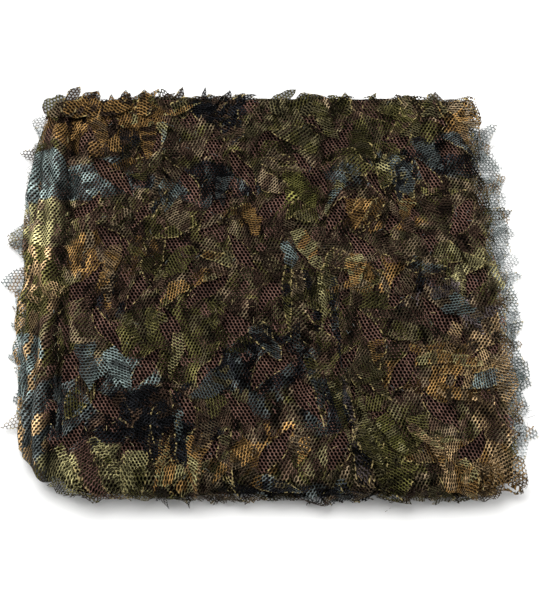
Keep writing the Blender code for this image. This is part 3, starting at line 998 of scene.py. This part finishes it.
def build_leaves(context):
    """The loose leaves of the cuts, one to four beside each, turned over the ply in all directions."""
    sizes, palette, cloth, rng = start_piece(context, seed_step=1)
    for middle_x, middle_y, lean_sign in window_places(sizes):
        middle = [float(value) for value in warped(np.array(middle_x), np.array(middle_y))]
        if middle[0] > section_value(middle[1], "right") - 0.006 or middle[0] < -0.140:
            continue
        for _ in range(rng.integers(1, 5)):
            side = rng.choice((-1, 1))
            heading = -math.pi / 2 + side * rng.uniform(0.1, 1.0) - lean_sign * 0.35
            if rng.random() < 0.15:
                heading = rng.uniform(0.0, math.tau)
            leaf = Leaf(
                across=middle[0] + side * (sizes.window_width / 2 + rng.uniform(0.003, 0.012)),
                along=middle[1] + rng.uniform(-0.004, 0.020),
                heading=heading,
                length=sizes.leaf_length * rng.uniform(0.50, 1.00),
                width=sizes.leaf_width * rng.uniform(0.35, 1.00),
                bend=rng.uniform(-0.16, 0.16),
                lift=sizes.ply_lift + rng.uniform(0.0002, 0.0012),
                rise=rng.uniform(0.0, 0.0030),
                cup=rng.uniform(-0.0024, 0.0042),
                twist=rng.uniform(-0.45, 0.45),
            )
            add_leaf(cloth, leaf, palette, rng)
    for feature in FEATURES:
        leaf = Leaf(
            across=feature.x,
            along=feature.y,
            heading=math.radians(feature.turn),
            length=feature.length,
            width=feature.width,
            bend=rng.uniform(-0.10, 0.10),
            lift=sizes.ply_lift + 0.0012,
            rise=feature.rise,
            cup=rng.choice((-0.0022, 0.0026)),
            twist=rng.uniform(-0.25, 0.25),
        )
        add_leaf(cloth, leaf, palette, rng, (feature.first, feature.second))
    material = knitted_mesh("leaf_mesh", sizes, palette, PLY_HOLE_SHARE)
    return cloth.make_object("loose_leaves", material, clear_of_floor)


# Where leaf tips stand out round the packet. Each line in plan has the heights that its tips start at, how
# far out they reach, how much of their height they lose, how many there are, and the way that they point.
SIDES = table("x_start y_start x_end y_end low high reach droop count heading name", 6, (
    (-166, 151.5, 30, 151.5, 27, 33, 0.85, 0.1, 42, 45, "back_left"),
    (30, 152, 145, 152, 26, 31, 0.45, 0.1, 16, 60, "back_right"),
    (-130, -137, 146, -137, 2, 12, 0.3, 0.9, 22, -90, "front"),
    (-173, 150, -180, 40, 1, 8, 1.2, 0.9, 16, 172, "left_back"),
    (-180, 40, -171, -90, 1, 8, 1.1, 0.9, 14, 185, "left_front"),
    (-160, -104, -116, -133, 2, 18, 0.5, 0.9, 16, 235, "left_corner"),
    (158, 149, 169, 50, 1, 3, 0.9, 0.9, 10, 10, "right_back"),
    (167, 50, 171, -105, 1, 3, 0.8, 0.9, 12, 5, "right_front"),
    (162, -110, 141, -132, 1, 16, 0.5, 0.9, 10, -45, "right_corner"),
))
TIP_ROOT = 0.012


def side_place(side_row, place):
    """A place along one side's line in plan."""
    x = mix(side_row.x_start, side_row.x_end, place)
    return x, mix(side_row.y_start, side_row.y_end, place)


def build_edge_tips(context):
    """Leaf tips of the layers inside, which stand out round the packet and lie down on the floor."""
    sizes, palette, cloth, rng = start_piece(context, seed_step=2)
    for side_row in SIDES:
        at_back = side_row.name.startswith("back")
        outside = side_row.name.startswith(("right", "left"))
        spaced = side_row.droop >= 0.5
        for number in range(side_row.count):
            place = (number + rng.uniform(0.1, 0.9)) / side_row.count if spaced else rng.random()
            base_x, base_y = side_place(side_row, place)
            heading = math.radians(side_row.heading) + rng.uniform(-0.75, 0.75)
            length = sizes.tip_reach * side_row.reach * rng.uniform(0.25, 1.30) + 0.016
            width = sizes.leaf_width * (rng.uniform(0.7, 1.3) if outside else rng.uniform(0.4, 1.0))
            bend = rng.uniform(-0.15, 0.15) * length
            share, reach, side, rim = leaf_grid(length, width, bend, rng.uniform(0.6, 1.0), rng)
            start = rng.uniform(side_row.low, side_row.high)
            ahead, aside = turned(reach - TIP_ROOT, side, heading)
            droop = side_row.droop * rng.uniform(0.3, 1.0) * start
            z = start - droop * share**1.6 + rng.uniform(-0.15, 0.15) * side
            z = np.maximum(z + 0.0012 * np.sin(side * 500 + number), 0.0008 + 0.0004 * rng.random())
            first, second = print_colours_and_shade(base_x, base_y, palette, shift=number * 0.01)
            # Painted light: most tips at the sides take near-white and pale colours and a lighter tone, as
            # light shines through them; the other tips are drawn darker.
            if outside and rng.random() < 0.85:
                first = mix(palette["pale_slate"], palette["mist"], rng.uniform(0.2, 1.0))
                second = palette[("pale_slate", "tan")[rng.integers(2)]]
            tone = rng.uniform(0.9, 1.4) if outside else rng.uniform(0.35, 0.9)
            u, v = turned(reach, side, rng.uniform(-0.4, 0.4))
            u = u + rng.uniform(0.0, 1.0)
            v = v + rng.uniform(0.0, 1.0)
            rim = rim + rng.choice((0.0, 0.003), p=(0.5, 0.5))
            sheer = rng.uniform(0.9, 1.8) if outside else 0.0
            core = 0.70 if at_back else 0.0
            x = base_x + ahead
            y = base_y + aside
            cloth.add_grid(x, y, z, u, v, first * tone, second * tone, rim, core, sheer, plain=0.7)
    return cloth.make_object("edge_tips", knitted_mesh("tip_mesh", sizes, palette, hole_share=0.60))


YARN_WIDTH = 0.00035
YARN_ROWS = 6
YARNS_PER_CUT = 9


def add_yarn_end(cloth, start, heading, colour, rng, longest, steepness):
    """One cut end of yarn: a thin three-sided strand that curves away from its start.

    longest is the range of its length, and steepness the range of how fast it climbs.
    """
    length = rng.uniform(*longest)
    rise = rng.uniform(*steepness)
    bow = rng.uniform(-1, 1)
    share = np.linspace(0.0, 1.0, YARN_ROWS)[:, None]
    around = np.radians(np.array([90.0, 210.0, 330.0]))[None, :]
    thin = YARN_WIDTH / 2 * (1.0 - 0.6 * share)
    reach = length * share
    ahead, aside = turned(reach, bow * length * share**2 + thin * np.cos(around), heading)
    z = np.clip(start[2] + rise * length * share + thin * np.sin(around), 0.0003, HIGHEST)
    u = reach + 0 * around
    cloth.add_grid(start[0] + ahead, start[1] + aside, z, u, u, colour, colour, 1.0, loop=True)


def build_yarn_ends(context):
    """Cut yarn ends: short ones on the rims of the cuts, and longer ones round the packet."""
    _, palette, cloth, rng = start_piece(context, seed_step=3)
    bright = ("cut_edge", "straw", "ochre", "lime", "pale_slate")
    dull = ("slate", "olive", "tan", "bark")
    for middle_x, middle_y, _ in window_places(context.scene.net_sizes):
        for _ in range(YARNS_PER_CUT):
            across = middle_x + rng.normal(0.0, 0.012)
            along = middle_y + rng.normal(0.0, 0.014)
            across, along = warped(np.array(across), np.array(along))
            beside = not roll_line(along) - 0.030 < across < section_value(along, "right") - 0.002
            if beside or not FRONT_LINE - 0.006 < along < BACK_LINE:
                continue
            start = [float(value) for value in lay_on_top(across, along, np.array(0.0022))]
            colour = palette[bright[rng.integers(len(bright))]] * rng.uniform(0.8, 1.5)
            heading = rng.uniform(0.0, math.tau)
            add_yarn_end(cloth, start, heading, colour, rng, (0.0015, 0.0045), (0.0, 0.5))
    for side_row in SIDES:
        facing = math.radians(side_row.heading)
        for _ in range(side_row.count * 2):
            x, y = side_place(side_row, rng.random())
            out = rng.uniform(0.000, 0.008) * side_row.reach
            heading = facing + rng.uniform(-0.7, 0.7)
            height = rng.uniform(side_row.low, side_row.high)
            start = (x + out * math.cos(facing), y + out * math.sin(facing), height)
            colour = palette[dull[rng.integers(len(dull))]] * rng.uniform(0.6, 1.4)
            add_yarn_end(cloth, start, heading, colour, rng, (0.003, 0.008), (-0.3, 0.1))
    return cloth.make_object("yarn_ends", loose_yarn("bare_yarn"))


# Stage

CAMERA_DISTANCE = 0.87
CAMERA_HEIGHT_ANGLE = math.radians(67.5)
CAMERA_LENS = 71.5
CAMERA_AIM = Vector((0.0004, -0.0031, 0.0))
LAMP_AIM = Vector((0.0, 0.0, 0.01))
FLOOR_SIZE = 6.0
FLOOR_LEVEL = -0.0002
SKY_STRENGTH = 0.42
Lamp = namedtuple("Lamp", "name place size power")
LAMPS = (
    Lamp("key_light", (-0.50, 0.55, 1.9), 1.2, 41.0),
    Lamp("fill_light", (1.3, 0.2, 1.5), 1.6, 17.0),
)


def build_stage(context):
    """A plain pale floor, two soft lamps, an even sky and the camera above the packet's front edge."""
    scene = context.scene
    bpy.ops.object.select_all(action="DESELECT")
    bpy.ops.mesh.primitive_plane_add(size=FLOOR_SIZE, location=(0.0, 0.0, FLOOR_LEVEL))
    floor = context.object
    floor.name = "floor"
    bpy.ops.object.transform_apply(location=True)
    material, tree, shader = new_material("pale_floor")
    paint = (*scene.net_colours.floor[:], 1.0)
    feed(tree, shader, {"Base Color": paint, "Roughness": 0.9, "Specular IOR Level": 0.1})
    floor.data.materials.append(material)

    for lamp in LAMPS:
        light = bpy.data.lights.new(lamp.name, "AREA")
        light.size = lamp.size
        light.energy = lamp.power
        lamp_object = bpy.data.objects.new(lamp.name, light)
        lamp_object.location = lamp.place
        lamp_object.rotation_euler = (LAMP_AIM - Vector(lamp.place)).to_track_quat("-Z", "Y").to_euler()
        scene.collection.objects.link(lamp_object)

    world = bpy.data.worlds.new("studio")
    world.use_nodes = True
    sky = {"Color": (1.0, 1.0, 1.0, 1.0), "Strength": SKY_STRENGTH}
    feed(world.node_tree, world.node_tree.nodes["Background"], sky)
    scene.world = world
    scene.view_settings.view_transform = "Standard"

    camera_data = bpy.data.cameras.new("camera")
    camera_data.lens = CAMERA_LENS
    camera_data.sensor_width = 36.0
    camera_data.clip_start = 0.01
    camera = bpy.data.objects.new("camera", camera_data)
    away = Vector((0.0, -math.cos(CAMERA_HEIGHT_ANGLE), math.sin(CAMERA_HEIGHT_ANGLE)))
    camera.location = CAMERA_AIM + away * CAMERA_DISTANCE
    camera.rotation_euler = (math.pi / 2 - CAMERA_HEIGHT_ANGLE, 0.0, 0.0)
    scene.collection.objects.link(camera)
    scene.camera = camera


# Operators and panel


class NET_OT_ground_mesh(bpy.types.Operator):
    """Build the folded ground mesh"""

    bl_idname = "camouflage_net.ground_mesh"
    bl_label = "Ground Mesh"

    def execute(self, context):
        build_ground_mesh(context)
        return {"FINISHED"}


class NET_OT_leaf_ply(bpy.types.Operator):
    """Build the printed ply with its leaf cuts"""

    bl_idname = "camouflage_net.leaf_ply"
    bl_label = "Leaf-Cut Ply"

    def execute(self, context):
        build_leaf_ply(context)
        return {"FINISHED"}


class NET_OT_side_folds(bpy.types.Operator):
    """Build the pleats of the rolled left side"""

    bl_idname = "camouflage_net.side_folds"
    bl_label = "Side Folds"

    def execute(self, context):
        build_side_folds(context)
        return {"FINISHED"}


class NET_OT_leaves(bpy.types.Operator):
    """Build the loose leaves on the packet"""

    bl_idname = "camouflage_net.leaves"
    bl_label = "Loose Leaves"

    def execute(self, context):
        build_leaves(context)
        return {"FINISHED"}


class NET_OT_edge_tips(bpy.types.Operator):
    """Build the leaf tips round the packet"""

    bl_idname = "camouflage_net.edge_tips"
    bl_label = "Edge Tips"

    def execute(self, context):
        build_edge_tips(context)
        return {"FINISHED"}


class NET_OT_yarn_ends(bpy.types.Operator):
    """Build the cut yarn ends"""

    bl_idname = "camouflage_net.yarn_ends"
    bl_label = "Yarn Ends"

    def execute(self, context):
        build_yarn_ends(context)
        return {"FINISHED"}


class NET_OT_stage(bpy.types.Operator):
    """Build the floor, the lights and the camera"""

    bl_idname = "camouflage_net.stage"
    bl_label = "Stage"

    def execute(self, context):
        build_stage(context)
        return {"FINISHED"}


class NET_PT_panel(bpy.types.Panel):
    """Sizes, colours and pieces of the folded net"""

    bl_label = "Camouflage Net"
    bl_idname = "NET_PT_panel"
    bl_space_type = "VIEW_3D"
    bl_region_type = "UI"
    bl_category = "Camouflage Net"

    def draw(self, context):
        layout = self.layout
        for group in (context.scene.net_sizes, context.scene.net_colours):
            column = layout.column(align=True)
            for name in group.__annotations__:
                column.prop(group, name)
        for operator in OPERATORS:
            layout.operator(operator.bl_idname)


OPERATORS = (
    NET_OT_ground_mesh,
    NET_OT_leaf_ply,
    NET_OT_side_folds,
    NET_OT_leaves,
    NET_OT_edge_tips,
    NET_OT_yarn_ends,
    NET_OT_stage,
)
CLASSES = (NetSizes, NetColours, *OPERATORS, NET_PT_panel)


def register():
    for cls in CLASSES:
        bpy.utils.register_class(cls)
    bpy.types.Scene.net_sizes = PointerProperty(type=NetSizes)
    bpy.types.Scene.net_colours = PointerProperty(type=NetColours)


def unregister():
    del bpy.types.Scene.net_colours
    del bpy.types.Scene.net_sizes
    for cls in reversed(CLASSES):
        bpy.utils.unregister_class(cls)


def main():
    register()
    bpy.ops.camouflage_net.ground_mesh()
    bpy.ops.camouflage_net.leaf_ply()
    bpy.ops.camouflage_net.side_folds()
    bpy.ops.camouflage_net.leaves()
    bpy.ops.camouflage_net.edge_tips()
    bpy.ops.camouflage_net.yarn_ends()
    bpy.ops.camouflage_net.stage()
    bpy.data.objects["ground_mesh"]


if __name__ == "__main__":
    main()
